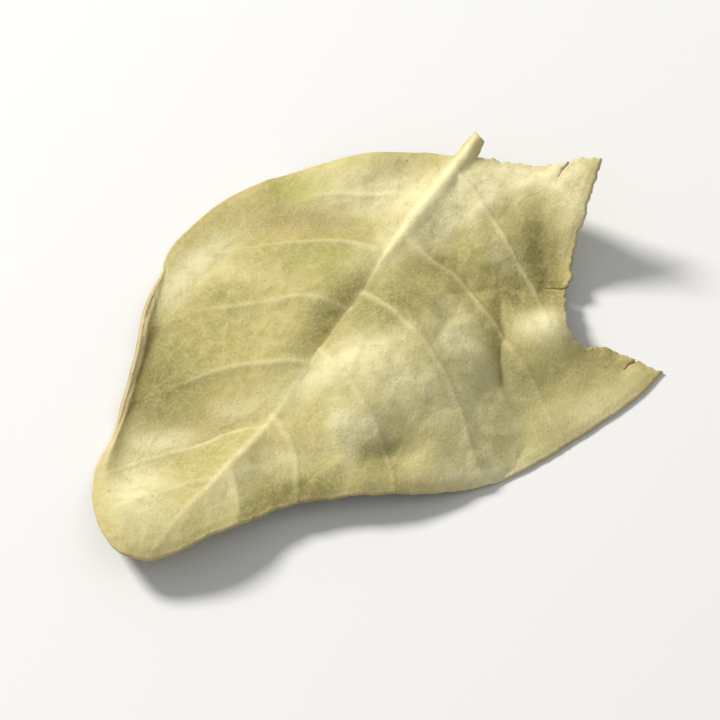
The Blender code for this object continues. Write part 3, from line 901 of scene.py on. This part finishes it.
class Nodes:
    """Short ways to add nodes to one material."""

    def __init__(self, material):
        material.use_nodes = True
        self.tree = material.node_tree
        self.shader = self.tree.nodes["Principled BSDF"]

    def set_inputs(self, node, inputs):
        for name, value in inputs.items():
            if isinstance(value, bpy.types.NodeSocket):
                self.tree.links.new(value, node.inputs[name])
            else:
                node.inputs[name].default_value = value

    def put(self, kind, inputs=None, **settings):
        node = self.tree.nodes.new(kind)
        for name, value in settings.items():
            setattr(node, name, value)
        self.set_inputs(node, inputs or {})
        return node

    def times(self, a, b):
        return self.put("ShaderNodeMath", {0: a, 1: b}, operation="MULTIPLY").outputs[0]

    def plus(self, a, b):
        return self.put("ShaderNodeMath", {0: a, 1: b}, operation="ADD").outputs[0]

    def mask(self, name):
        return self.put("ShaderNodeAttribute", attribute_name=name).outputs["Fac"]

    def ranged(self, value, low, high, to_low=0.0, to_high=1.0):
        """The value's span from low to high, eased to run from to_low to to_high."""
        inputs = {0: value, 1: low, 2: high, 3: to_low, 4: to_high}
        return self.put("ShaderNodeMapRange", inputs, interpolation_type="SMOOTHSTEP").outputs[0]

    def falling(self, value, low, high):
        return self.ranged(value, low, high, 1.0, 0.0)

    def noise(self, place, scale, detail, roughness):
        inputs = {"Vector": place, "Scale": scale, "Detail": detail, "Roughness": roughness}
        return self.put("ShaderNodeTexNoise", inputs).outputs["Fac"]

    def mottle(self, place, scale, detail, roughness, low, high, least=0.0):
        """Noise whose span from low to high is spread to run from least to 1."""
        return self.ranged(self.noise(place, scale, detail, roughness), low, high, least)

    def mix(self, factor, a, b):
        """Colour a where the factor is 0, turning into colour b where it is 1."""
        return self.put("ShaderNodeMix", {0: factor, 6: a, 7: b}, data_type="RGBA").outputs[2]

    def layer(self, below, where, colour, most):
        """The colour laid over what is below it, where the mask says, and at most so strongly."""
        return self.mix(self.times(where, most), below, colour)


def leaf_material():
    """A dry, matt leaflet: pale khaki underside with paler ribs, and a duller green face below."""
    material = bpy.data.materials.new("dried_leaf")
    n = Nodes(material)
    place = n.put("ShaderNodeUVMap", uv_map="plan").outputs[0]
    large = n.mottle(place, *LARGE_MOTTLE)
    small = n.mottle(place, *SMALL_MOTTLE)
    broken = n.mottle(place, *BROKEN_MOTTLE, BROKEN_LEAST)
    fine = n.noise(place, *FINE_NOISE)
    net_inputs = {"Vector": place, "Scale": SMALL_NET_SCALE}
    cells = n.put("ShaderNodeTexVoronoi", net_inputs, feature="DISTANCE_TO_EDGE")
    small_net = n.falling(cells.outputs["Distance"], *SMALL_NET_SPAN)
    under = underside_colour(n, place, large, small, broken, fine, small_net)
    over = n.mix(large, *DULL_GREEN)
    over = n.layer(over, small, *DULL_MOTTLING)
    over = n.layer(over, n.times(n.mask("side_vein"), broken), *DULL_SIDE_VEIN)
    over = n.layer(over, n.times(n.mask("midrib"), broken), *DULL_MIDRIB)
    n.set_inputs(n.shader, FINISH)
    grain = n.plus(n.times(fine, GRAIN_SHARES[0]), n.times(small_net, GRAIN_SHARES[1]))
    relief_node = n.put("ShaderNodeBump", {"Height": grain, **GRAIN_RELIEF})
    colour = n.mix(n.mask("floor_side"), under, over)
    n.set_inputs(n.shader, {"Base Color": colour, "Normal": relief_node.outputs[0]})
    return material


def underside_colour(n, place, large, small, broken, fine, small_net):
    """The underside's base colour with its layers laid over it in turn, some of them painted light and shade.
    """
    middling = n.mottle(place, *MIDDLING_MOTTLE)
    from_margin = n.mask("margin_distance")
    worn = n.falling(from_margin, *WORN_EDGE_SPAN)
    # Painted shade in the curl inside the left rim, as a band by distance from the margin
    groove_shade_edge, groove_shade_middle, groove_shade_end = RIM_GROOVE_SHADE
    groove_shade = n.times(n.ranged(from_margin, groove_shade_edge, groove_shade_middle),
                     n.falling(from_margin, groove_shade_middle, groove_shade_end))
    colour = n.mix(large, *KHAKI)
    for where, layer in (
        (middling, DUSKY_MOTTLING),
        (small, STRAW_MOTTLING),
        (n.times(n.mask("green"), broken), GREEN),
        # Reddish-brown stains and painted shade
        (n.times(n.mask("rust_and_painted_shade"), broken), RUST_AND_PAINTED_SHADE),
        # Dark tone and painted shade from the dark patches
        (n.times(n.mask("olive_and_painted_shade"), broken), OLIVE_AND_PAINTED_SHADE),
        # Paler tone and painted light from the pale patches
        (n.times(n.mask("pale"), broken), PALE_AND_PAINTED_LIGHT),
        (n.ranged(fine, *LIGHT_GRAIN_SPAN), LIGHT_GRAIN),
        (n.falling(fine, *DARK_GRAIN_SPAN), DARK_GRAIN),
        (small_net, SMALL_NET),
        (n.times(n.mask("net"), small), NET),
        (n.times(n.mask("side_vein"), broken), SIDE_VEIN),
        (n.times(n.mask("midrib"), broken), PALE_MIDRIB),
        (n.times(worn, small), WORN_EDGE),
        # Painted shade in the curl inside the left rim
        (n.times(n.mask("rim"), groove_shade), PAINTED_GROOVE_SHADE),
        # The rim's own tan edge with a painted highlight
        (n.times(n.mask("rim"), n.falling(from_margin, *RIM_HIGHLIGHT_EDGE)), PALE_RIM_AND_HIGHLIGHT),
        (n.mottle(place, *SPECK_MOTTLE), SPECKS),
    ):
        colour = n.layer(colour, where, *layer)
    return colour


def view_direction(azimuth, elevation):
    """The way from the object to a viewer. Azimuth 0 looks along +Y, with +X to the right."""
    a, e = math.radians(azimuth), math.radians(elevation)
    return Vector((math.sin(a) * math.cos(e), -math.cos(a) * math.cos(e), math.sin(e)))


def add_floor():
    bpy.ops.mesh.primitive_plane_add(size=FLOOR_SIZE, location=(0, 0, -FLOOR_BELOW))
    floor = bpy.context.object
    floor.name = "floor"
    material = bpy.data.materials.new("floor")
    n = Nodes(material)
    n.set_inputs(n.shader, {"Base Color": FLOOR_COLOUR, "Roughness": FLOOR_ROUGHNESS})
    floor.data.materials.append(material)


def add_lamp(name, azimuth, elevation, distance, size, watts, colour):
    data = bpy.data.lights.new(name, "AREA")
    data.shape = "DISK"
    data.size = size
    data.energy = watts
    data.color = colour
    lamp = bpy.data.objects.new(name, data)
    way = view_direction(azimuth, elevation)
    lamp.location = way * distance
    lamp.rotation_euler = way.to_track_quat("Z", "Y").to_euler()
    bpy.context.scene.collection.objects.link(lamp)


def add_light():
    for lamp in LAMPS:
        add_lamp(*lamp)
    world = bpy.data.worlds.new("studio")
    world.use_nodes = True
    world.node_tree.nodes["Background"].inputs["Color"].default_value = SKY_COLOUR
    world.node_tree.nodes["Background"].inputs["Strength"].default_value = SKY_STRENGTH
    bpy.context.scene.world = world
    bpy.context.scene.view_settings.view_transform = "Standard"


def add_camera():
    data = bpy.data.cameras.new("camera")
    data.lens = LENS
    data.clip_start = CLIP_FROM
    camera = bpy.data.objects.new("camera", data)
    way = view_direction(*CAMERA_VIEW)
    camera.location = Vector(CAMERA_AIM) + way * CAMERA_DISTANCE
    camera.rotation_euler = way.to_track_quat("Z", "Y").to_euler()
    bpy.context.scene.collection.objects.link(camera)
    bpy.context.scene.camera = camera


blade = build_blade()
blade.data.materials.append(leaf_material())
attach(blade, "root")
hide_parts("leaflet")

add_floor()
add_light()
add_camera()
